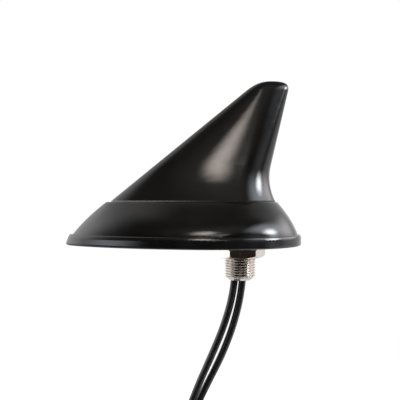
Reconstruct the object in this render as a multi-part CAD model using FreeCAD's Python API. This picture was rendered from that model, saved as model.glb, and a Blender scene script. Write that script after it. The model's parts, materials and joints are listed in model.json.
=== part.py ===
import FreeCAD, Part
import math
import os
from collections import namedtuple

V = FreeCAD.Vector

# Millimetres. The roof plane is z = 0, the stud's axis is the z axis and the nose points to -X.

# Rim gasket: its plan on the roof, its band, and how far the band's top curves in
rim_front = 67.6
rim_rear = 23.4
rim_half_width = 26.3
rim_widest = -8.5
rim_height = 4.3
rim_band_height = 2.8
rim_band_lean_front = 1.0
rim_lean_front = 1.9
rim_lean_rear = 0.5
rim_lean_side = 0.45
rim_edge_round = 0.5
rim_foot_round = 0.8
gasket_floor = 1.5

# Skirt: the rim's ledge around its foot, its bulge, walls, register lip and the seal on its top
rim_ledge_front = 1.1
rim_ledge_rear = 0.8
rim_ledge_side = 1.5
skirt_bulge = 0.8
skirt_bulge_side = 2.1
skirt_wall = 2.6
skirt_web = 2.0
skirt_edge_round = 1.0
seam_ledge_front = 1.4
seam_ledge_rear = 0.6
seam_ledge_side = 1.5
lip_height = 2.5
lip_wall = 1.2
lip_clearance = 0.3
seal_height = 0.5
seal_overhang = 0.15
skirt_widest_foot = -8.0
skirt_widest_top = -3.5

# Fin: its side view, its thickness, and the flare at its foot
seam_height = 16.7
fin_height = 63.2
fin_foot_front = 50.3
fin_front_slope = 39.2
fin_foot_rear = 8.65
fin_rear_lean = 13.1
fin_half_foot = 11.0
fin_half_top = 2.7
fin_widest_foot = -2.9
fin_widest_top = 10.0
fin_flare_height = 13.8
fin_flare_rear = 5.0
fin_flare_side = 1.9
fin_shoulder_drop = 3.6
fin_crest_front = 10.3
fin_crest_rear = 14.0
fin_crest_half = 0.8
fin_crest_widest = 12.0
fin_wall = 2.0
fin_nose_wall = 4.4
fin_cavity_height = 56.0

# Share of each quarter of a plan outline that keeps the tangent of its end
base_side_ease = 0.5
base_nose_blunt = 0.26
fin_side_ease = 0.45
fin_nose_blunt = 0.45
rear_ease = 0.5523

# Casting under the skirt, with its boss for the stud
plate_edge_gap = 0.4
plate_side_gap = 0.1
boss_radius = 11.5
boss_recess = 0.3
boss_gap = 0.3
post_height = 2.6
post_radius = 2.2
post_inset = 3.0

# Threaded stud M12 x 1, its nut and washer
thread_diameter = 12.0
stud_reach = 13.4
stud_bore = 7.6
stud_end_land = 0.3
stud_end_chamfer = 1.6
stud_hole_gap = 0.1
flange_radius = 8.5
flange_across_flats = 15.0
flange_thickness = 2.2
flange_pocket = 1.2
flange_gap = 0.1
nut_across_flats = 17.0
nut_height = 4.0
nut_turn = 3.1
nut_face_share = 0.96
nut_chamfer_angle = 30.0
nut_mouth_chamfer = 0.5
thread_gap = 0.05
washer_radius = 10.0
washer_thickness = 1.0
washer_teeth = 14
washer_notch_width = 1.3
washer_notch_depth = 1.7

# Grommet in the stud's bore
grommet_length = 5.0
grommet_collar_radius = 5.2
grommet_collar_height = 0.8
grommet_gap = 0.05

# Main board and what stands on it
board_front = 40.0
board_rear = 12.0
board_half_width = 10.0
board_thickness = 1.2
board_corner = 3.0
patch_center = -24.0
patch_side = 18.0
patch_height = 4.0
patch_pad_height = 0.5
electrode_side = 14.0
electrode_height = 0.1
feed_pin_radius = 0.5
feed_head_radius = 0.9
feed_head_height = 0.3
feed_pin_gap = 0.05
feed_pin_offset = 2.0
can_length = 12.0
can_width = 7.0
can_height = 2.5
can_wall = 0.3
can_center_x = -4.0
can_center_y = 5.6

# Upright board in the fin
fin_board_thickness = 1.0
fin_board_front = 22.0
fin_board_root_front = 9.0
fin_board_root_rear = 6.5
fin_board_front_gap = 2.5
fin_board_rear_gap = 1.2
fin_board_top_gap = 2.0
fin_board_lip_gap = 2.0

# Screws: board screws are M2, cover screws are 2.5 mm tapping screws
board_screw_radius = 1.0
board_screw_head = 1.9
board_screw_head_height = 1.3
board_screw_grip = 2.4
cover_screw_radius = 1.25
cover_screw_head = 2.2
cover_screw_head_height = 1.2
cover_screw_length = 6.0
screw_gap = 0.05
screw_clearance = 0.15
screw_end_gap = 0.5
screw_slot_width = 0.6
screw_slot_depth = 0.5
cover_boss_radius = 2.6
cover_boss_places = [(-22.0, 14.0), (3.0, 13.4)]

# Leads: two thin coaxial cables, each with a small coil and a plug
cable_radius = 1.4
cable_spacing = 3.0
cable_a_route = [(-2.6, 0.0, -18.5), (-6.0, -0.3, -30.7), (-11.0, -0.6, -42.6),
                 (-16.6, -1.0, -54.8), (-21.9, -1.3, -69.0)]
cable_b_route = [(0.5, 0.0, -18.5), (-2.4, 0.3, -30.7), (-7.0, 0.6, -42.8),
                 (-13.3, 1.0, -55.2), (-19.8, 1.3, -69.0)]
cable_bend_share = 0.45
cable_straight_end = -5.5
coil_radius = 15.5
coil_center_x = -9.5
coil_center_z = -83.0
coil_turns = 2
coil_gap = 0.1
tail_length = 12.0
tie_band = 0.8
tie_width = 2.5
tie_gap = 0.2
tie_head = 3.6

# Plug on each lead
ferrule_radius = 2.2
ferrule_length = 7.0
ferrule_rings = 3
ferrule_ring_depth = 0.3
housing_side = 7.6
housing_length = 17.0
housing_corner = 1.2
housing_collar = 0.7
housing_collar_length = 3.0
housing_rib_width = 1.6
housing_rib_height = 0.8
housing_rib_length = 9.0
barrel_radius = 2.5
barrel_wall = 0.35
barrel_length = 5.0
insulator_length = 2.0
contact_radius = 0.5
contact_length = 4.2

os.makedirs("parts", exist_ok=True)

# Heights of the stack, from the roof upwards
plate_top = rim_height
flange_foot = plate_top - flange_pocket
flange_top = flange_foot + flange_thickness
board_foot = plate_top + post_height
board_top = board_foot + board_thickness
flare_top = seam_height + fin_flare_height
thread_radius = thread_diameter / 2
bore_radius = stud_bore / 2

# Directions
UP = V(0, 0, 1)
ACROSS = V(0, 1, 0)

# A plan outline: reach to the front and rear of the stud's axis, half width, and where it is widest
Plan = namedtuple("Plan", "front rear half widest ease blunt")


def save(shape, name):
    shape.exportStep("parts/" + name + ".step")


def grown(plan, front, rear, side):
    """The outline moved outwards by the given amounts."""
    return plan._replace(front=plan.front + front, rear=plan.rear + rear, half=plan.half + side)


def mixed(first, last, share):
    return Plan(*[(1 - share) * a + share * b for a, b in zip(first, last)])


def quarters(plan, z):
    """The outline's four cubic quarters, from the rear round the +Y side to the nose and back."""
    nose, rear, wide, half = -plan.front, plan.rear, plan.widest, plan.half
    back = [(rear, 0), (rear, rear_ease * half), (wide + rear_ease * (rear - wide), half), (wide, half)]
    ahead = [(wide, half), (wide + plan.ease * (nose - wide), half), (nose, plan.blunt * half), (nose, 0)]
    left = [[V(x, y, z) for x, y in curve] for curve in (back, ahead)]
    right = [[V(x, -y, z) for x, y in reversed(curve)] for curve in (ahead, back)]
    return left + right


def bezier_edge(poles):
    curve = Part.BezierCurve()
    curve.setPoles(poles)
    return curve.toShape()


def bezier_face(rows):
    """The surface whose control points are the given rows of points."""
    surface = Part.BezierSurface()
    surface.increase(len(rows[0]) - 1, len(rows) - 1)
    for j, row in enumerate(rows):
        for i, point in enumerate(row):
            surface.setPole(i + 1, j + 1, point)
    return surface.toShape()


def skin(*stacks):
    """A solid through stacks of outlines. Each stack is a list of (plan, z) control rows."""
    faces = []
    for stack in stacks:
        rows = [quarters(plan, z) for plan, z in stack]
        for q in range(len(rows[0])):
            faces.append(bezier_face([row[q] for row in rows]))
    for plan, z in (stacks[0][0], stacks[-1][-1]):
        faces.append(Part.Face(Part.Wire([bezier_edge(poles) for poles in quarters(plan, z)])))
    shell = Part.Shell(faces)
    shell.sewShape()
    solid = Part.Solid(shell)
    if solid.Volume < 0:
        solid.reverse()
    return solid


def prism(plan, low, high):
    return skin([(plan, low), (plan, high)])


def edges_at(shape, z):
    """The edges of a shape that lie flat at one height."""
    near = 1e-4
    return [e for e in shape.Edges if abs(e.BoundBox.ZMin - z) < near and abs(e.BoundBox.ZMax - z) < near]


def rod(radius, low, high, x=0.0, y=0.0):
    return Part.makeCylinder(radius, high - low, V(x, y, low))


def block(x0, x1, y0, y1, z0, z1):
    return Part.makeBox(x1 - x0, y1 - y0, z1 - z0, V(x0, y0, z0))


def side_plate(points, thickness):
    """A plate in the plane of symmetry, from a polygon of (x, z) points."""
    corners = [V(x, -thickness / 2, z) for x, z in points]
    return Part.Face(Part.makePolygon(corners + corners[:1])).extrude(ACROSS * thickness)


# Outlines that the pieces share
rim_foot_plan = Plan(rim_front, rim_rear, rim_half_width, rim_widest, base_side_ease, base_nose_blunt)
rim_top_plan = grown(rim_foot_plan, -rim_lean_front, -rim_lean_rear, -rim_lean_side)
skirt_foot_plan = grown(rim_top_plan, -rim_ledge_front, -rim_ledge_rear, -rim_ledge_side)
skirt_foot_plan = skirt_foot_plan._replace(widest=skirt_widest_foot)
plate_plan = grown(skirt_foot_plan, -plate_edge_gap, -plate_edge_gap, -plate_edge_gap)


def fin_plain(z):
    """The fin's outline at a height, without the flare at its foot."""
    rise = z - seam_height
    share = rise / (fin_height - seam_height)
    front = fin_foot_front - rise / math.tan(math.radians(fin_front_slope))
    rear = fin_foot_rear + rise * math.tan(math.radians(fin_rear_lean))
    half = fin_half_foot + (fin_half_top - fin_half_foot) * share
    widest = fin_widest_foot + (fin_widest_top - fin_widest_foot) * share
    return Plan(front, rear, half, widest, fin_side_ease, fin_nose_blunt)


def fin_outline(z):
    """The fin's outline at a height, with the flare that grows as a square towards the seam."""
    share = max(0.0, (flare_top - z) / fin_flare_height) ** 2
    return grown(fin_plain(z), 0.0, fin_flare_rear * share, fin_flare_side * share)


def hollowed(plan):
    return grown(plan, -fin_nose_wall, -fin_wall, -fin_wall)


def fin_rows(foot, top, shape_of):
    """Control rows of the fin between two heights: a flared foot below a straight cone."""
    middle = (foot + flare_top) / 2
    flared = [(shape_of(fin_outline(foot)), foot), (shape_of(fin_plain(middle)), middle),
              (shape_of(fin_plain(flare_top)), flare_top)]
    straight = [(shape_of(fin_plain(flare_top)), flare_top), (shape_of(fin_plain(top)), top)]
    return flared, straight


skirt_top_plan = grown(fin_outline(seam_height), seam_ledge_front, seam_ledge_rear, seam_ledge_side)
skirt_top_plan = skirt_top_plan._replace(widest=skirt_widest_top)
lip_top = seam_height + lip_height
lip_plan = grown(hollowed(fin_outline(lip_top)), -lip_clearance, -lip_clearance, -lip_clearance)
opening_plan = grown(lip_plan, -lip_wall, -lip_wall, -lip_wall)


def skirt_outline(z):
    """The skirt's outline at a height: straight from foot to top, plus the bulge between them."""
    share = (z - rim_height) / (seam_height - rim_height)
    swell = 4 * share * (1 - share)
    bulge = skirt_bulge * swell
    return grown(mixed(skirt_foot_plan, skirt_top_plan, share), bulge, bulge, skirt_bulge_side * swell)


def skirt_body(foot, top, inset):
    """The skirt's form between two heights, drawn in by an inset."""
    middle = (foot + top) / 2
    ends = [grown(skirt_outline(z), -inset, -inset, -inset) for z in (foot, top)]
    center = grown(skirt_outline(middle), -inset, -inset, -inset)
    control = Plan(*[2 * c - (a + b) / 2 for a, b, c in zip(ends[0], ends[1], center)])
    return skin([(ends[0], foot), (control, middle), (ends[1], top)])


# Fin cover: a hollow moulding, closed at the top by a rounded crest
shoulder = fin_height - fin_shoulder_drop
crest_plan = Plan(-fin_crest_front, fin_crest_rear, fin_crest_half, fin_crest_widest,
                  fin_side_ease, fin_nose_blunt)
crest = [(fin_plain(shoulder), shoulder), (fin_plain(fin_height), fin_height), (crest_plan, fin_height)]
fin_foot = seam_height + seal_height
fin = skin(*fin_rows(fin_foot, shoulder, lambda plan: plan), crest)
fin = fin.cut(skin(*fin_rows(fin_foot, fin_cavity_height, hollowed)))
save(fin, "fin_cover")

# Seal: a flat ring between the skirt and the fin cover, which shows as a thin line at the seam
seal_plan = grown(fin_outline(fin_foot), seal_overhang, seal_overhang, seal_overhang)
seal_opening = grown(lip_plan, lip_clearance, lip_clearance, lip_clearance)
seal = prism(seal_plan, seam_height, fin_foot).cut(prism(seal_opening, seam_height, fin_foot))
save(seal, "seam_seal")

# Skirt: a hollow moulding with a lip that the fin cover fits over. Its bosses for the cover screws
# stand on the casting and reach up to the web under the seam.
skirt_form = skirt_body(rim_height, seam_height, 0.0)
skirt = skirt_form.makeFillet(skirt_edge_round, edges_at(skirt_form, seam_height))
skirt = skirt.cut(skirt_body(rim_height, seam_height - skirt_web, skirt_wall))
skirt = skirt.fuse(prism(lip_plan, seam_height - skirt_web, lip_top))
skirt = skirt.cut(prism(opening_plan, rim_height, lip_top))
cover_boss_spots = [(x, side * y) for x, y in cover_boss_places for side in (-1, 1)]
cover_hole_radius = cover_screw_radius + screw_gap
cover_head_top = gasket_floor + cover_screw_head_height
cover_hole_top = cover_head_top + cover_screw_length + screw_end_gap
for x, y in cover_boss_spots:
    boss = rod(cover_boss_radius, plate_top, seam_height - skirt_web, x, y).common(skirt_form)
    skirt = skirt.fuse(boss)
for x, y in cover_boss_spots:
    skirt = skirt.cut(rod(cover_hole_radius, plate_top, cover_hole_top, x, y))
save(skirt.removeSplitter(), "base_skirt")

# Rim gasket: a rubber tray with a rounded band around the casting and an opening for the boss
rim_band_plan = grown(rim_foot_plan, -rim_band_lean_front, 0.0, 0.0)
rim_turn_height = (rim_band_height + rim_height) / 2
rim_turn_plan = grown(rim_foot_plan, -rim_band_lean_front * rim_turn_height / rim_band_height, 0.0, 0.0)
rim = skin([(rim_foot_plan, 0.0), (rim_band_plan, rim_band_height)],
           [(rim_band_plan, rim_band_height), (rim_turn_plan, rim_turn_height), (rim_top_plan, rim_height)])
rim = rim.makeFillet(rim_edge_round, edges_at(rim, rim_height))
rim = rim.makeFillet(rim_foot_round, edges_at(rim, 0.0))
tray_plan = grown(plate_plan, plate_side_gap, plate_side_gap, plate_side_gap)
rim = rim.cut(prism(tray_plan, gasket_floor, rim_height))
rim = rim.cut(rod(boss_radius + boss_gap, 0.0, gasket_floor))
save(rim, "rim_gasket")


def double_d(radius, across_flats, low, high):
    """A round slab with two flats, which keeps the stud from turning."""
    return rod(radius, low, high).common(
        block(-radius, radius, -across_flats / 2, across_flats / 2, low, high))


# Casting: a plate in the gasket's tray, with the stud's boss and pocket and the board's posts
plate = prism(plate_plan, gasket_floor, plate_top).fuse(rod(boss_radius, boss_recess, gasket_floor))
post_spots = [(x, side * (board_half_width - post_inset))
              for x in (post_inset - board_front, board_rear - post_inset) for side in (-1, 1)]
board_screw_low = board_top - board_screw_grip - board_thickness
for x, y in post_spots:
    plate = plate.fuse(rod(post_radius, plate_top, board_foot, x, y))
for x, y in post_spots:
    plate = plate.cut(rod(board_screw_radius + screw_gap, board_screw_low - screw_end_gap, board_foot, x, y))
plate = plate.cut(rod(thread_radius + stud_hole_gap, boss_recess, plate_top))
plate = plate.cut(double_d(flange_radius + flange_gap, flange_across_flats + 2 * flange_gap,
                           flange_foot, plate_top))
for x, y in cover_boss_spots:
    plate = plate.cut(rod(cover_screw_radius + screw_clearance, gasket_floor, plate_top, x, y))
    plate = plate.cut(rod(cover_screw_head + screw_clearance, gasket_floor, cover_head_top, x, y))
save(plate.removeSplitter(), "base_plate")

# Stud: a hollow threaded tube with a keyed flange and a long lead-in at its end
end_radius = bore_radius + stud_end_land
stud = rod(thread_radius, stud_end_chamfer - stud_reach, flange_foot)
stud = stud.fuse(Part.makeCone(end_radius, thread_radius, stud_end_chamfer, V(0, 0, -stud_reach)))
stud = stud.fuse(double_d(flange_radius, flange_across_flats, flange_foot, flange_top))
stud = stud.cut(rod(bore_radius, -stud_reach, flange_top))
save(stud.removeSplitter(), "threaded_stud")

# Washer with a ring of teeth, then the nut below it
washer_low = boss_recess - washer_thickness
washer = rod(washer_radius, washer_low, boss_recess).cut(
    rod(thread_radius + thread_gap, washer_low, boss_recess))
notch = block(washer_radius - washer_notch_depth, 2 * washer_radius,
              -washer_notch_width / 2, washer_notch_width / 2, washer_low, boss_recess)
for n in range(washer_teeth):
    turned = notch.copy()
    turned.rotate(V(0, 0, 0), UP, n * 360.0 / washer_teeth)
    washer = washer.cut(turned)
save(washer, "toothed_washer")

nut_low = washer_low - nut_height
corner_radius = nut_across_flats / 2 / math.cos(math.radians(30))
corner_angles = [math.radians(nut_turn + 60 * n) for n in range(6)]
corners = [V(corner_radius * math.cos(a), corner_radius * math.sin(a), nut_low) for a in corner_angles]
nut = Part.Face(Part.makePolygon(corners + corners[:1])).extrude(UP * nut_height)
nut_face_radius = nut_face_share * nut_across_flats / 2
nut_chamfer = (corner_radius - nut_face_radius) * math.tan(math.radians(nut_chamfer_angle))
turned_form = rod(corner_radius, nut_low + nut_chamfer, washer_low - nut_chamfer)
lower_chamfer = Part.makeCone(nut_face_radius, corner_radius, nut_chamfer, V(0, 0, nut_low))
upper_chamfer = Part.makeCone(corner_radius, nut_face_radius, nut_chamfer, V(0, 0, washer_low - nut_chamfer))
turned_form = turned_form.fuse(lower_chamfer).fuse(upper_chamfer)
nut = nut.common(turned_form)
nut_bore = thread_radius + thread_gap
nut_mouth = nut_bore + nut_mouth_chamfer
nut = nut.cut(rod(nut_bore, nut_low, washer_low))
nut_mouth_foot = washer_low - nut_mouth_chamfer
nut = nut.cut(Part.makeCone(nut_mouth, nut_bore, nut_mouth_chamfer, V(0, 0, nut_low)))
nut = nut.cut(Part.makeCone(nut_bore, nut_mouth, nut_mouth_chamfer, V(0, 0, nut_mouth_foot)))
save(nut.removeSplitter(), "hex_nut")

# Grommet: a rubber plug in the top of the bore, with a hole for each lead
cable_places = {"a": -cable_spacing / 2, "b": cable_spacing / 2}
grommet = rod(bore_radius - grommet_gap, flange_top - grommet_length, flange_top)
grommet = grommet.fuse(rod(grommet_collar_radius, flange_top, flange_top + grommet_collar_height))
for x in cable_places.values():
    grommet = grommet.cut(
        rod(cable_radius + grommet_gap, flange_top - grommet_length, board_foot, x))
save(grommet.removeSplitter(), "cable_grommet")

# Main board, on the casting's posts
board = block(-board_front, board_rear, -board_half_width, board_half_width, board_foot, board_top)
upright = [e for e in board.Edges if e.BoundBox.ZLength > board_thickness / 2]
board = board.makeFillet(board_corner, upright)
for x, y in post_spots:
    board = board.cut(rod(board_screw_radius + screw_clearance, board_foot, board_top, x, y))
save(board, "main_board")


def screw(head_radius, head_height, radius, length, x, y, seat, point):
    """A screw with a slotted head: point is 1 where it points up and -1 where it points down."""
    head = sorted((seat, seat - point * head_height))
    shank = sorted((seat, seat + point * length))
    face = seat - point * head_height
    slot = sorted((face, face + point * screw_slot_depth))
    body = rod(head_radius, head[0], head[1], x, y).fuse(rod(radius, shank[0], shank[1], x, y))
    return body.cut(block(x - head_radius, x + head_radius, y - screw_slot_width / 2,
                          y + screw_slot_width / 2, slot[0], slot[1]))


board_screw_length = board_top - board_screw_low
save(Part.Compound([screw(board_screw_head, board_screw_head_height, board_screw_radius,
                          board_screw_length, x, y, board_top, -1) for x, y in post_spots]), "board_screws")
save(Part.Compound([screw(cover_screw_head, cover_screw_head_height, cover_screw_radius,
                          cover_screw_length, x, y, cover_head_top, 1) for x, y in cover_boss_spots]),
     "cover_screws")

# Patch antenna: pad, ceramic, electrode and feed pin
pad_top = board_top + patch_pad_height
ceramic_top = pad_top + patch_height
electrode_top = ceramic_top + electrode_height
feed_x = patch_center + feed_pin_offset
feed_hole = rod(feed_pin_radius + feed_pin_gap, board_top, electrode_top, feed_x)


def square_slab(side, low, high):
    half = side / 2
    return block(patch_center - half, patch_center + half, -half, half, low, high).cut(feed_hole)


save(square_slab(patch_side, board_top, pad_top), "patch_pad")
save(square_slab(patch_side, pad_top, ceramic_top), "patch_ceramic")
save(square_slab(electrode_side, ceramic_top, electrode_top), "patch_electrode")
feed_pin = rod(feed_pin_radius, board_top, electrode_top, feed_x)
feed_pin = feed_pin.fuse(rod(feed_head_radius, electrode_top, electrode_top + feed_head_height, feed_x))
save(feed_pin, "patch_feed_pin")

# Shield can over the amplifier
can_x = (can_center_x - can_length / 2, can_center_x + can_length / 2)
can_y = (can_center_y - can_width / 2, can_center_y + can_width / 2)
can = block(can_x[0], can_x[1], can_y[0], can_y[1], board_top, board_top + can_height)
can = can.cut(block(can_x[0] + can_wall, can_x[1] - can_wall, can_y[0] + can_wall, can_y[1] - can_wall,
                    board_top, board_top + can_height - can_wall))
save(can, "shield_can")

# Upright board: a tongue on the main board, and above the lip a blade that follows the fin
blade_foot = lip_top + fin_board_lip_gap
blade_top = fin_cavity_height - fin_board_top_gap


def blade_front(z):
    return fin_board_front_gap - hollowed(fin_plain(z)).front


def blade_rear(z):
    return hollowed(fin_plain(z)).rear - fin_board_rear_gap


front_reach = hollowed(fin_plain(seam_height)).front - fin_board_front_gap - fin_board_front
front_corner = seam_height + front_reach * math.tan(math.radians(fin_front_slope))
save(side_plate([(-fin_board_root_front, board_top), (fin_board_root_rear, board_top),
                 (fin_board_root_rear, blade_foot), (blade_rear(blade_foot), blade_foot),
                 (blade_rear(blade_top), blade_top), (blade_front(blade_top), blade_top),
                 (-fin_board_front, front_corner), (-fin_board_front, blade_foot),
                 (-fin_board_root_front, blade_foot)], fin_board_thickness), "fin_board")


def tube_along(points, radius, name):
    """A round cord along straight runs joined by the largest tangent arcs that the runs allow."""
    points = [V(*p) for p in points]
    edges, start, radii = [], points[0], []
    for before, corner, after in zip(points, points[1:], points[2:]):
        arrive = (corner - before).normalize()
        leave = (after - corner).normalize()
        turn = arrive.getAngle(leave)
        reach = cable_bend_share * min((corner - before).Length, (after - corner).Length)
        bend = reach / math.tan(turn / 2)
        inward = (leave - arrive).normalize()
        middle = corner + inward * (bend / math.cos(turn / 2) - bend)
        first, last = corner - arrive * reach, corner + leave * reach
        edges += [Part.LineSegment(start, first).toShape(), Part.Arc(first, middle, last).toShape()]
        start = last
        radii.append(round(bend, 1))
    edges.append(Part.LineSegment(start, points[-1]).toShape())
    path = Part.Wire(edges)
    ring = Part.Wire([Part.makeCircle(radius, points[0], points[1] - points[0])])
    tube = path.makePipeShell([ring], True, True)
    share = tube.Volume / (math.pi * radius ** 2 * path.Length)
    print(name, "arc radii", radii, "length", round(path.Length, 1), "volume share", round(share, 4))
    return tube


# Leads: each tube runs from the main board through the stud to its coil, and ends in a plug
coil_pitch = 2 * cable_radius
coil_start_x = coil_center_x - coil_radius
coil_inner = cable_radius + coil_gap
coil_outer = coil_inner + coil_turns * coil_pitch
coil_width = coil_outer + cable_radius
tail_foot = coil_center_z - tail_length
ferrule_foot = tail_foot - ferrule_length
housing_foot = ferrule_foot - housing_length
barrel_foot = housing_foot - barrel_length


def plug_pieces(side):
    """The plug below a tail: crimp ferrule, keyed housing, outer contact, insulator and pin."""
    x, y = coil_start_x, side * coil_outer
    ferrule = rod(ferrule_radius, ferrule_foot, tail_foot, x, y)
    ring_step = ferrule_length / (2 * ferrule_rings + 1)
    for n in range(ferrule_rings):
        low = ferrule_foot + (2 * n + 1) * ring_step
        core = rod(ferrule_radius - ferrule_ring_depth, low, low + ring_step, x, y)
        ferrule = ferrule.cut(rod(ferrule_radius, low, low + ring_step, x, y).cut(core))
    half = housing_side / 2
    housing = block(x - half, x + half, y - half, y + half, housing_foot, ferrule_foot)
    collar = half + housing_collar
    housing = housing.fuse(block(x - collar, x + collar, y - collar, y + collar,
                                 ferrule_foot - housing_collar_length, ferrule_foot))
    upright_edges = [e for e in housing.Edges if e.BoundBox.ZLength > housing_collar_length / 2]
    housing = housing.makeFillet(housing_corner, upright_edges)
    rib_top = ferrule_foot - housing_collar_length
    rib = block(x - housing_rib_width / 2, x + housing_rib_width / 2, y + side * half - housing_rib_height,
                y + side * half + housing_rib_height, rib_top - housing_rib_length, rib_top)
    key = block(x - half - housing_rib_height, x + half + housing_rib_height, y - housing_rib_width / 2,
                y + housing_rib_width / 2, rib_top - housing_rib_length, rib_top)
    housing = housing.fuse(rib).fuse(key)
    bore = barrel_radius - barrel_wall
    barrel = rod(barrel_radius, barrel_foot, housing_foot, x, y)
    barrel = barrel.cut(rod(bore, barrel_foot, housing_foot, x, y))
    insulator_foot = housing_foot - insulator_length
    insulator = rod(bore, insulator_foot, housing_foot, x, y).cut(
        rod(contact_radius, insulator_foot, housing_foot, x, y))
    pin = rod(contact_radius, housing_foot - contact_length, housing_foot, x, y)
    return {"ferrule": ferrule, "housing": housing.removeSplitter(), "barrel": barrel,
            "insulator": insulator, "pin": pin}


for letter, side, route in (("a", -1, cable_a_route), ("b", 1, cable_b_route)):
    place = cable_places[letter]
    joined = (coil_start_x, side * coil_inner, coil_center_z)
    lead = [(place, 0.0, board_foot), (place, 0.0, cable_straight_end)] + route + [joined]
    save(tube_along(lead, cable_radius, "cable_" + letter), "cable_" + letter)
    low_y = min(side * coil_gap, side * coil_width)
    coil_base = V(coil_center_x, low_y, coil_center_z)
    coil = Part.makeCylinder(coil_radius + cable_radius, coil_width - coil_gap, coil_base, ACROSS)
    coil = coil.cut(Part.makeCylinder(coil_radius - cable_radius, coil_width - coil_gap, coil_base, ACROSS))
    save(coil, "coil_" + letter)
    tail = rod(cable_radius, tail_foot, coil_center_z, coil_start_x, side * coil_outer)
    save(tail, "cable_" + letter + "_tail")
    for piece, shape in plug_pieces(side).items():
        save(shape, "plug_" + letter + "_" + piece)

# Tie: a strap around both coils, with its lock outside them
tie_middle = coil_center_x + coil_radius
tie_x = cable_radius + tie_gap
tie_y = coil_width + tie_gap
tie_low, tie_high = coil_center_z - tie_width / 2, coil_center_z + tie_width / 2
tie = block(tie_middle - tie_x - tie_band, tie_middle + tie_x + tie_band,
            -tie_y - tie_band, tie_y + tie_band, tie_low, tie_high)
tie = tie.cut(block(tie_middle - tie_x, tie_middle + tie_x, -tie_y, tie_y, tie_low, tie_high))
lock_x = tie_middle + tie_x
tie = tie.fuse(block(lock_x + tie_band, lock_x + tie_head, -tie_head / 2, tie_head / 2,
                     coil_center_z - tie_head / 2, coil_center_z + tie_head / 2))
save(tie.removeSplitter(), "coil_tie")
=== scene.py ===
import bpy
import json
import math
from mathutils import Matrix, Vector


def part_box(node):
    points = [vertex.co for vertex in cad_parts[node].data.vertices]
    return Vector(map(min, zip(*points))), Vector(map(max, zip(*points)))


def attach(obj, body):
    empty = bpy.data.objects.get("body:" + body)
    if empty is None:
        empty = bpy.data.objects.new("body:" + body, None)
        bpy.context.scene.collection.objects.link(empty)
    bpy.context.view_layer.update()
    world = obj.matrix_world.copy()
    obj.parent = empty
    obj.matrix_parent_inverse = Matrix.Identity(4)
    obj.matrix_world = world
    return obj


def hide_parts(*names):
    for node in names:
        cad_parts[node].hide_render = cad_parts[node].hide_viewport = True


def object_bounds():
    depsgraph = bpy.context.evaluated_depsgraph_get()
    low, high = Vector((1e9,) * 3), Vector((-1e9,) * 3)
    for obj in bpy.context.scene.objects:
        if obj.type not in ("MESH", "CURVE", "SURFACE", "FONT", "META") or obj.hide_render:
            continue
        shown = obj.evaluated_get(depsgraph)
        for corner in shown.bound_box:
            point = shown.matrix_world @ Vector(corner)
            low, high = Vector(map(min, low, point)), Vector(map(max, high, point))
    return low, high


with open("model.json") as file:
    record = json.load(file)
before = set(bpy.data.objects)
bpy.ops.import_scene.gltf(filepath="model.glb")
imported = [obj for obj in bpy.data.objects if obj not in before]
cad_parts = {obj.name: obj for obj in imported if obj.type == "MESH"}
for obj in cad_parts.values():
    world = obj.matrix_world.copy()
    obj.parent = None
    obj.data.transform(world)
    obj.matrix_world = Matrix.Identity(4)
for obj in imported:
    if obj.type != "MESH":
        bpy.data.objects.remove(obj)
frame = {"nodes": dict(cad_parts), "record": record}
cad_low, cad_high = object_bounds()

# Metres, in the frame of the solids: the roof plane is z = 0 and the nose points to -X.
scene = bpy.context.scene
scene.view_settings.view_transform = "Standard"

# Camera: level, at the height of the seam, in front of the antenna's left side
eye = Vector((-0.0155, -0.241, 0.0174))
half_view = 0.0774
sensor_mm = 36.0
near_clip = 0.005

# Leads: thin coaxial cables from the main board through the stud to a small coil and a plug
cable_radius = 0.0014
curve_order = 3
curve_steps = 10
bevel_steps = 7
coil_center = Vector((-0.0095, 0.0, -0.083))
coil_radius = 0.0155
coil_inner = 0.0015
coil_outer = 0.0071
coil_turns = 2
coil_points_per_turn = 16
tail_foot = -0.095
cable_routes = {
    "a": [(-0.0015, 0.0, 0.0069), (-0.0015, 0.0, -0.0055), (-0.0026, 0.0, -0.0185),
          (-0.0060, -0.0003, -0.0307), (-0.0110, -0.0006, -0.0426), (-0.0166, -0.0010, -0.0548),
          (-0.0219, -0.0013, -0.0690), (-0.0250, -0.0015, -0.0830)],
    "b": [(0.0015, 0.0, 0.0069), (0.0015, 0.0, -0.0055), (0.0005, 0.0, -0.0185),
          (-0.0024, 0.0003, -0.0307), (-0.0070, 0.0006, -0.0428), (-0.0133, 0.0010, -0.0552),
          (-0.0198, 0.0013, -0.0690), (-0.0250, 0.0015, -0.0830)],
}
plug_pieces = ("ferrule", "housing", "barrel", "insulator", "pin")

# Stud: an M12 x 1 thread with a flange that has two flats
thread_pitch = 0.001
thread_depth = 0.0006
thread_crest = 0.12
thread_root = 0.22
thread_rows_per_pitch = 12
thread_sharp_deg = 50.0
stud_sides = 112
stud_radius = 0.006
stud_bore = 0.0038
stud_end_land = 0.0003
stud_end_chamfer = 0.0016
flange_thickness = 0.0022

# Studio: a dark room in front of the antenna, white paper behind it, and soft lamps.
# A lamp's radiance is its watts over four times its area.
lamp_distance = 0.9
watts_per_radiance = 4.0
floor_drop = 0.03
floor_half_width = 0.7
floor_front, floor_rear = -0.12, 0.4
floor_colour = (0.8, 0.8, 0.8, 1.0)
floor_lift = 0.5
fill_strength = 0.45
room_white = (1.0, 1.0, 1.0, 1.0)
room_from, room_to = -0.3, 0.1
room_front = [(0.35, (0.02, 0.016, 0.013)), (0.8, (0.11, 0.1, 0.095))]
room_back = [(0.6, (1.0, 1.0, 1.0)), (0.9, (0.4, 0.385, 0.378)), (0.965, (0.1, 0.092, 0.088))]

# Paint: the middle of a noise's range, and how fast the seam's painted highlight grows by the metre
noise_low, noise_high = 0.3, 0.7
painted_sheen_rate = 20.0


def link(obj):
    scene.collection.objects.link(obj)
    return obj


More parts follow.
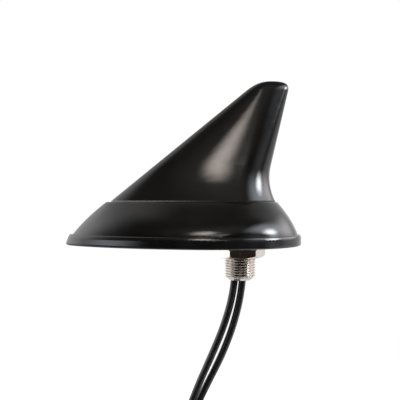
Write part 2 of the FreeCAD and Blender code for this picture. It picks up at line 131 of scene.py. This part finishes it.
def add_camera():
    data = bpy.data.cameras.new("camera")
    data.sensor_width = sensor_mm
    data.lens = sensor_mm / 2 * -eye.y / half_view
    data.clip_start = near_clip
    camera = link(bpy.data.objects.new("camera", data))
    camera.location = eye
    camera.rotation_euler = (math.radians(90), 0, 0)
    scene.camera = camera


def coil_points(side):
    """Control points of a coil's turns, from the left of the coil downwards and round."""
    step = 2 * math.pi / coil_points_per_turn
    reach = coil_radius / math.cos(step / 2)
    count = coil_turns * coil_points_per_turn
    points = []
    for n in range(count):
        angle = math.pi + (n + 0.5) * step
        across = coil_inner + (coil_outer - coil_inner) * (n + 0.5) / count
        points.append((coil_center.x + reach * math.cos(angle), side * across,
                       coil_center.z + reach * math.sin(angle)))
    return points


def add_lead(letter, side, material):
    """A lead on one smooth line: its hanging route, its coil and the tail into its plug."""
    route = cable_routes[letter]
    tail = (coil_center.x - coil_radius, side * coil_outer, tail_foot)
    points = route + coil_points(side) + [tail]
    curve = bpy.data.curves.new("lead_" + letter, "CURVE")
    curve.dimensions = "3D"
    spline = curve.splines.new("NURBS")
    spline.points.add(len(points) - 1)
    for control, point in zip(spline.points, points):
        control.co = (*point, 1.0)
    spline.order_u = curve_order
    spline.use_endpoint_u = True
    spline.resolution_u = curve_steps
    curve.bevel_depth = cable_radius
    curve.bevel_resolution = bevel_steps
    curve.use_fill_caps = True
    curve.materials.append(material)
    lead = link(bpy.data.objects.new("lead_" + letter, curve))
    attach(lead, "antenna")
    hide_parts("cable_" + letter, "coil_" + letter, "cable_" + letter + "_tail")
    pieces = [frame["nodes"]["plug_" + letter + "_" + piece] for piece in plug_pieces]
    if letter == "a":
        pieces.append(frame["nodes"]["coil_tie"])


def add_stud(material):
    """The stud with its helical thread: rings joined from the bore's foot, up the thread
    and down the bore."""
    low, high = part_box("threaded_stud")
    flange_foot = high.z - flange_thickness
    end_radius = stud_bore + stud_end_land
    rise = (stud_radius - end_radius) / stud_end_chamfer
    angles = [2 * math.pi * n / stud_sides for n in range(stud_sides)]

    def thread(z, angle):
        ridge = abs(2 * ((z / thread_pitch - angle / (2 * math.pi)) % 1.0) - 1)
        share = min(max((ridge - thread_crest) / (1 - thread_crest - thread_root), 0.0), 1.0)
        return min(stud_radius - thread_depth * share, end_radius + rise * (z - low.z))

    def flange(angle):
        return min(high.x, high.y / max(abs(math.sin(angle)), 1e-6))

    def ring(z, radius_at):
        return [(radius_at(a) * math.cos(a), radius_at(a) * math.sin(a), z) for a in angles]

    rows = round((flange_foot - low.z) / thread_pitch * thread_rows_per_pitch)
    heights = [low.z + (flange_foot - low.z) * n / rows for n in range(rows + 1)]
    rings = [ring(low.z, lambda a: stud_bore)]
    rings += [ring(z, lambda a, z=z: thread(z, a)) for z in heights]
    rings += [ring(flange_foot, flange), ring(high.z, flange), ring(high.z, lambda a: stud_bore)]
    faces = []
    for m in range(len(rings)):
        here, there = m * stud_sides, (m + 1) % len(rings) * stud_sides
        for n in range(stud_sides):
            after = (n + 1) % stud_sides
            faces.append((here + n, here + after, there + after, there + n))
    mesh = bpy.data.meshes.new("stud_thread")
    mesh.from_pydata([point for one in rings for point in one], [], faces)
    mesh.polygons.foreach_set("use_smooth", [True] * len(faces))
    mesh.set_sharp_from_angle(angle=math.radians(thread_sharp_deg))
    mesh.materials.append(material)
    stud = link(bpy.data.objects.new("stud_thread", mesh))
    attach(stud, "antenna")
    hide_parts("threaded_stud")


class Paint:
    """A material with short ways to add the nodes that vary its colour, shine and relief."""

    def __init__(self, name, **constants):
        self.material = bpy.data.materials.new(name)
        self.material.use_nodes = True
        self.tree = self.material.node_tree
        self.shader = self.tree.nodes["Principled BSDF"]
        for socket, value in constants.items():
            self.shader.inputs[socket.replace("_", " ")].default_value = value
        self.place = self.tree.nodes.new("ShaderNodeTexCoord").outputs["Object"]

    def join(self, source, target):
        self.tree.links.new(source, target)

    def stretched(self, scale):
        """Coordinates scaled by axis, for grain that runs one way."""
        node = self.tree.nodes.new("ShaderNodeMapping")
        node.inputs["Scale"].default_value = scale
        self.join(self.place, node.inputs["Vector"])
        return node.outputs["Vector"]

    def noise(self, scale, detail=3.0, place=None):
        node = self.tree.nodes.new("ShaderNodeTexNoise")
        node.inputs["Scale"].default_value = scale
        node.inputs["Detail"].default_value = detail
        self.join(place or self.place, node.inputs["Vector"])
        return node.outputs["Fac"]

    def cells(self, scale):
        node = self.tree.nodes.new("ShaderNodeTexVoronoi")
        node.inputs["Scale"].default_value = scale
        self.join(self.place, node.inputs["Vector"])
        return node.outputs["Distance"]

    def colours(self, value, *stops):
        """The shader's colour from a ramp of (place, colour) stops."""
        node = self.tree.nodes.new("ShaderNodeValToRGB")
        ramp = node.color_ramp
        while len(ramp.elements) < len(stops):
            ramp.elements.new(1.0)
        for element, (place, colour) in zip(ramp.elements, stops):
            element.position = place
            element.color = (*colour, 1.0)
        self.join(value, node.inputs["Fac"])
        self.join(node.outputs["Color"], self.shader.inputs["Base Color"])
        return self

    def shine(self, value, low, high):
        """The shader's roughness, from low to high over the middle of a noise's range."""
        node = self.tree.nodes.new("ShaderNodeMapRange")
        node.inputs["From Min"].default_value = noise_low
        node.inputs["From Max"].default_value = noise_high
        node.inputs["To Min"].default_value = low
        node.inputs["To Max"].default_value = high
        self.join(value, node.inputs["Value"])
        self.join(node.outputs["Result"], self.shader.inputs["Roughness"])
        return self

    def relief(self, height, depth):
        node = self.tree.nodes.new("ShaderNodeBump")
        node.inputs["Strength"].default_value = 1.0
        node.inputs["Distance"].default_value = depth
        self.join(height, node.inputs["Height"])
        self.join(node.outputs["Normal"], self.shader.inputs["Normal"])
        return self


def gloss_shell():
    paint = Paint("gloss_shell", IOR=1.5)
    cloud = paint.noise(90.0)
    paint.colours(cloud, (0.35, (0.0035, 0.0034, 0.0033)), (0.65, (0.0060, 0.0057, 0.0053)))
    paint.shine(paint.noise(260.0, 5.0), 0.085, 0.13)
    return paint.relief(paint.noise(420.0, 1.0), 0.000004).material


def rim_rubber():
    paint = Paint("rim_rubber", IOR=1.5)
    cloud = paint.noise(140.0)
    paint.colours(cloud, (0.35, (0.0042, 0.0043, 0.0048)), (0.65, (0.0075, 0.0077, 0.0084)))
    paint.shine(paint.noise(500.0, 5.0), 0.08, 0.14)
    return paint.relief(paint.noise(1500.0, 3.0), 0.000006).material


def seal_rubber():
    """Painted highlight along the seam: grey at the nose and black towards the rear."""
    paint = Paint("seal_rubber", IOR=1.5)
    # Painted highlight: the seal's colour grows lighter towards the nose, standing in for light
    # caught by the seam.
    painted_sheen = paint.tree.nodes.new("ShaderNodeTexGradient")
    paint.join(paint.stretched((-painted_sheen_rate, painted_sheen_rate, painted_sheen_rate)), painted_sheen.inputs["Vector"])
    paint.colours(painted_sheen.outputs["Fac"], (0.0, (0.008, 0.008, 0.008)), (0.16, (0.016, 0.0155, 0.015)),
                  (0.32, (0.04, 0.038, 0.036)), (0.48, (0.09, 0.086, 0.082)),
                  (0.72, (0.19, 0.182, 0.175)))
    paint.shine(paint.noise(1200.0, 4.0), 0.3, 0.42)
    return paint.relief(paint.cells(4000.0), 0.00001).material


def plated_steel():
    paint = Paint("plated_steel", Metallic=1.0)
    cloud = paint.noise(350.0, 5.0)
    paint.colours(cloud, (0.3, (0.58, 0.52, 0.47)), (0.7, (0.72, 0.67, 0.63)))
    paint.shine(paint.noise(900.0, 4.0), 0.1, 0.19)
    grain = paint.noise(1.0, 2.0, paint.stretched((900.0, 900.0, 14000.0)))
    return paint.relief(grain, 0.000003).material


def cable_jacket():
    paint = Paint("cable_jacket", IOR=1.5)
    cloud = paint.noise(300.0)
    paint.colours(cloud, (0.35, (0.006, 0.006, 0.006)), (0.65, (0.011, 0.011, 0.011)))
    paint.shine(paint.noise(800.0, 4.0), 0.22, 0.32)
    return paint.relief(paint.noise(2500.0, 2.0), 0.000004).material


def casting():
    paint = Paint("casting", Metallic=1.0)
    paint.colours(paint.noise(400.0, 5.0), (0.3, (0.44, 0.44, 0.45)), (0.7, (0.58, 0.58, 0.59)))
    paint.shine(paint.noise(1200.0), 0.42, 0.6)
    return paint.relief(paint.noise(3500.0, 4.0), 0.00003).material


def circuit_board():
    paint = Paint("circuit_board", IOR=1.5)
    tracks = paint.tree.nodes.new("ShaderNodeTexBrick")
    tracks.inputs["Scale"].default_value = 130.0
    tracks.inputs["Mortar Size"].default_value = 0.03
    tracks.inputs["Color1"].default_value = (0.0, 0.0, 0.0, 1.0)
    tracks.inputs["Color2"].default_value = (0.15, 0.15, 0.15, 1.0)
    tracks.inputs["Mortar"].default_value = (1.0, 1.0, 1.0, 1.0)
    paint.join(paint.place, tracks.inputs["Vector"])
    paint.colours(tracks.outputs["Color"], (0.0, (0.010, 0.085, 0.035)), (0.2, (0.012, 0.105, 0.042)),
                  (0.9, (0.035, 0.2, 0.08)))
    paint.shine(paint.noise(900.0), 0.28, 0.4)
    return paint.relief(tracks.outputs["Color"], 0.00002).material


def ceramic():
    paint = Paint("ceramic")
    paint.colours(paint.noise(2500.0, 5.0), (0.3, (0.56, 0.47, 0.32)), (0.7, (0.66, 0.57, 0.41)))
    paint.shine(paint.noise(700.0), 0.5, 0.7)
    return paint.relief(paint.noise(6000.0), 0.00001).material


def metal(name, dark, bright, smooth, rough):
    """A thin plated metal with a little tarnish."""
    paint = Paint(name, Metallic=1.0)
    paint.colours(paint.noise(700.0, 5.0), (0.3, dark), (0.7, bright))
    paint.shine(paint.noise(1500.0, 4.0), smooth, rough)
    return paint.relief(paint.noise(9000.0, 2.0), 0.000003).material


def moulding(name, dark, bright, smooth, rough, grain):
    """A moulded plastic with a fine spark-eroded grain."""
    paint = Paint(name)
    paint.colours(paint.noise(500.0, 4.0), (0.3, dark), (0.7, bright))
    paint.shine(paint.noise(1200.0, 4.0), smooth, rough)
    return paint.relief(paint.cells(grain), 0.00001).material


def dress():
    """A material for each slot of the record, put on its nodes."""
    finishes = {
        "gloss_shell": gloss_shell(),
        "rim_rubber": rim_rubber(),
        "plated_steel": plated_steel(),
        "cable_jacket": cable_jacket(),
        "casting": casting(),
        "circuit_board": circuit_board(),
        "ceramic": ceramic(),
        "tinned_sheet": metal("tinned_sheet", (0.58, 0.58, 0.56), (0.74, 0.74, 0.72), 0.22, 0.36),
        "gold_contact": metal("gold_contact", (0.66, 0.42, 0.14), (0.83, 0.58, 0.23), 0.16, 0.28),
        "seal_rubber": seal_rubber(),
        "tie_nylon": moulding("tie_nylon", (0.012, 0.012, 0.012), (0.022, 0.022, 0.022),
                              0.38, 0.5, 2600.0),
        "plug_housing": moulding("plug_housing", (0.010, 0.010, 0.011), (0.018, 0.018, 0.02),
                                 0.4, 0.55, 3200.0),
        "insulator": moulding("insulator", (0.7, 0.69, 0.65), (0.8, 0.79, 0.76),
                              0.35, 0.5, 5000.0),
    }
    for subpart in frame["record"]["subparts"]:
        node = frame["nodes"][subpart["node"]]
        for place in node.material_slots:
            place.material = finishes[subpart["material_slot"]]
    return finishes


def lamp(name, azimuth, elevation, width, height, radiance, colour):
    """A soft lamp, given by its direction and angular size as the antenna sees it, in degrees.
    Its light falls off from its middle to nothing at its rim."""
    az, el = math.radians(azimuth), math.radians(elevation)
    aim = Vector((math.sin(az) * math.cos(el), -math.cos(az) * math.cos(el), math.sin(el)))
    data = bpy.data.lights.new(name, "AREA")
    data.shape = "RECTANGLE"
    data.size = 2 * lamp_distance * math.tan(math.radians(width) / 2)
    data.size_y = 2 * lamp_distance * math.tan(math.radians(height) / 2)
    data.energy = watts_per_radiance * radiance * data.size * data.size_y
    data.color = colour
    obj = link(bpy.data.objects.new(name, data))
    obj.location = aim * lamp_distance
    obj.rotation_euler = (-aim).to_track_quat("-Z", "Y").to_euler()
    obj.visible_camera = False
    data.use_nodes = True
    tree = data.node_tree
    place = tree.nodes.new("ShaderNodeNewGeometry")
    middle = tree.nodes.new("ShaderNodeVectorMath")
    middle.operation = "DISTANCE"
    middle.inputs[1].default_value = (0.5, 0.5, 0.0)
    fall = tree.nodes.new("ShaderNodeMapRange")
    fall.interpolation_type = "SMOOTHSTEP"
    fall.inputs["From Min"].default_value = 0.0
    fall.inputs["From Max"].default_value = 0.5
    fall.inputs["To Min"].default_value = 1.0
    fall.inputs["To Max"].default_value = 0.0
    tree.links.new(place.outputs["Parametric"], middle.inputs[0])
    tree.links.new(middle.outputs["Value"], fall.inputs["Value"])
    tree.links.new(fall.outputs["Result"], tree.nodes["Emission"].inputs["Strength"])


def add_lamps():
    """Warm light in front for the fin's patch and the skirt's strip, cool light on the right
    for the highlights at the rear, and a softbox and a window on the left for the nose."""
    lamp("front_softbox", -11.6, 30.8, 21.0, 22.0, 7.0, (1.0, 0.9, 0.82))
    lamp("front_glow", -6.0, 28.0, 40.0, 24.0, 0.35, (1.0, 0.95, 0.88))
    lamp("front_low", 0.0, 21.0, 30.0, 14.0, 1.9, (1.0, 0.95, 0.88))
    lamp("front_wall", 0.0, 38.0, 90.0, 50.0, 0.2, (1.0, 0.95, 0.92))
    lamp("right_lamp", 71.0, 20.5, 34.0, 24.0, 19.5, (0.94, 0.96, 1.0))
    lamp("right_halo", 64.0, 31.0, 70.0, 36.0, 3.8, (0.86, 0.92, 1.0))
    lamp("right_wall", 52.0, 8.0, 64.0, 34.0, 0.45, (0.92, 0.94, 1.0))
    lamp("right_softbox", 101.0, 20.0, 74.0, 40.0, 3.0, (1.0, 0.96, 1.0))
    lamp("right_table", 69.0, -5.5, 36.0, 11.0, 0.9, (0.9, 0.94, 1.0))
    lamp("left_softbox", -104.0, 18.0, 84.0, 88.0, 1.2, (0.98, 0.98, 1.0))
    lamp("left_window", -65.0, 6.0, 50.0, 20.0, 2.4, (0.86, 0.92, 1.0))
    lamp("left_ceiling", -112.0, 60.0, 50.0, 36.0, 0.3, (1.0, 0.95, 0.9))


def add_floor():
    """A pale floor below the plugs. It looks white to the camera where nothing shades it."""
    level = cad_low.z - floor_drop
    corners = [(-floor_half_width, floor_front, level), (floor_half_width, floor_front, level),
               (floor_half_width, floor_rear, level), (-floor_half_width, floor_rear, level)]
    mesh = bpy.data.meshes.new("floor")
    mesh.from_pydata(corners, [], [(0, 1, 2, 3)])
    floor = link(bpy.data.objects.new("floor", mesh))
    material = bpy.data.materials.new("floor")
    material.use_nodes = True
    tree = material.node_tree
    tree.nodes.clear()
    matt = tree.nodes.new("ShaderNodeBsdfDiffuse")
    matt.inputs["Color"].default_value = floor_colour
    glow = tree.nodes.new("ShaderNodeEmission")
    path = tree.nodes.new("ShaderNodeLightPath")
    lift = tree.nodes.new("ShaderNodeMath")
    lift.operation = "MULTIPLY"
    lift.inputs[1].default_value = floor_lift
    both = tree.nodes.new("ShaderNodeAddShader")
    out = tree.nodes.new("ShaderNodeOutputMaterial")
    tree.links.new(path.outputs["Is Camera Ray"], lift.inputs[0])
    tree.links.new(lift.outputs[0], glow.inputs["Strength"])
    tree.links.new(matt.outputs[0], both.inputs[0])
    tree.links.new(glow.outputs[0], both.inputs[1])
    tree.links.new(both.outputs[0], out.inputs["Surface"])
    mesh.materials.append(material)


def add_world():
    """White to the camera. What is glossy mirrors a room with a dark front and ceiling
    and white walls."""
    world = bpy.data.worlds.new("studio")
    scene.world = world
    world.use_nodes = True
    tree = world.node_tree
    tree.nodes.clear()
    path = tree.nodes.new("ShaderNodeLightPath")
    place = tree.nodes.new("ShaderNodeTexCoord")
    parts = tree.nodes.new("ShaderNodeSeparateXYZ")
    tree.links.new(place.outputs["Generated"], parts.inputs[0])
    depth = tree.nodes.new("ShaderNodeMapRange")
    depth.interpolation_type = "SMOOTHSTEP"
    depth.inputs["From Min"].default_value = room_from
    depth.inputs["From Max"].default_value = room_to
    tree.links.new(parts.outputs["Y"], depth.inputs["Value"])
    tint = tree.nodes.new("ShaderNodeMix")
    tint.data_type = "RGBA"
    tree.links.new(depth.outputs["Result"], tint.inputs["Factor"])
    for side, stops in (("A", room_front), ("B", room_back)):
        wall = tree.nodes.new("ShaderNodeValToRGB")
        while len(wall.color_ramp.elements) < len(stops):
            wall.color_ramp.elements.new(1.0)
        for element, (height, colour) in zip(wall.color_ramp.elements, stops):
            element.position = height
            element.color = (*colour, 1.0)
        tree.links.new(parts.outputs["Z"], wall.inputs["Fac"])
        tree.links.new(wall.outputs["Color"], tint.inputs[side])

    def light(strength):
        node = tree.nodes.new("ShaderNodeBackground")
        node.inputs["Color"].default_value = room_white
        node.inputs["Strength"].default_value = strength
        return node

    def choose(chance, without, given):
        node = tree.nodes.new("ShaderNodeMixShader")
        tree.links.new(chance, node.inputs["Fac"])
        tree.links.new(without.outputs[0], node.inputs[1])
        tree.links.new(given.outputs[0], node.inputs[2])
        return node

    room = light(1.0)
    tree.links.new(tint.outputs["Result"], room.inputs["Color"])
    seen = choose(path.outputs["Is Glossy Ray"], light(fill_strength), room)
    seen = choose(path.outputs["Is Transmission Ray"], seen, light(1.0))
    seen = choose(path.outputs["Is Camera Ray"], seen, light(1.0))
    out = tree.nodes.new("ShaderNodeOutputWorld")
    tree.links.new(seen.outputs[0], out.inputs["Surface"])


add_camera()
finishes = dress()
for letter, side in (("a", -1), ("b", 1)):
    add_lead(letter, side, finishes["cable_jacket"])
add_stud(finishes["plated_steel"])
add_lamps()
add_floor()
add_world()
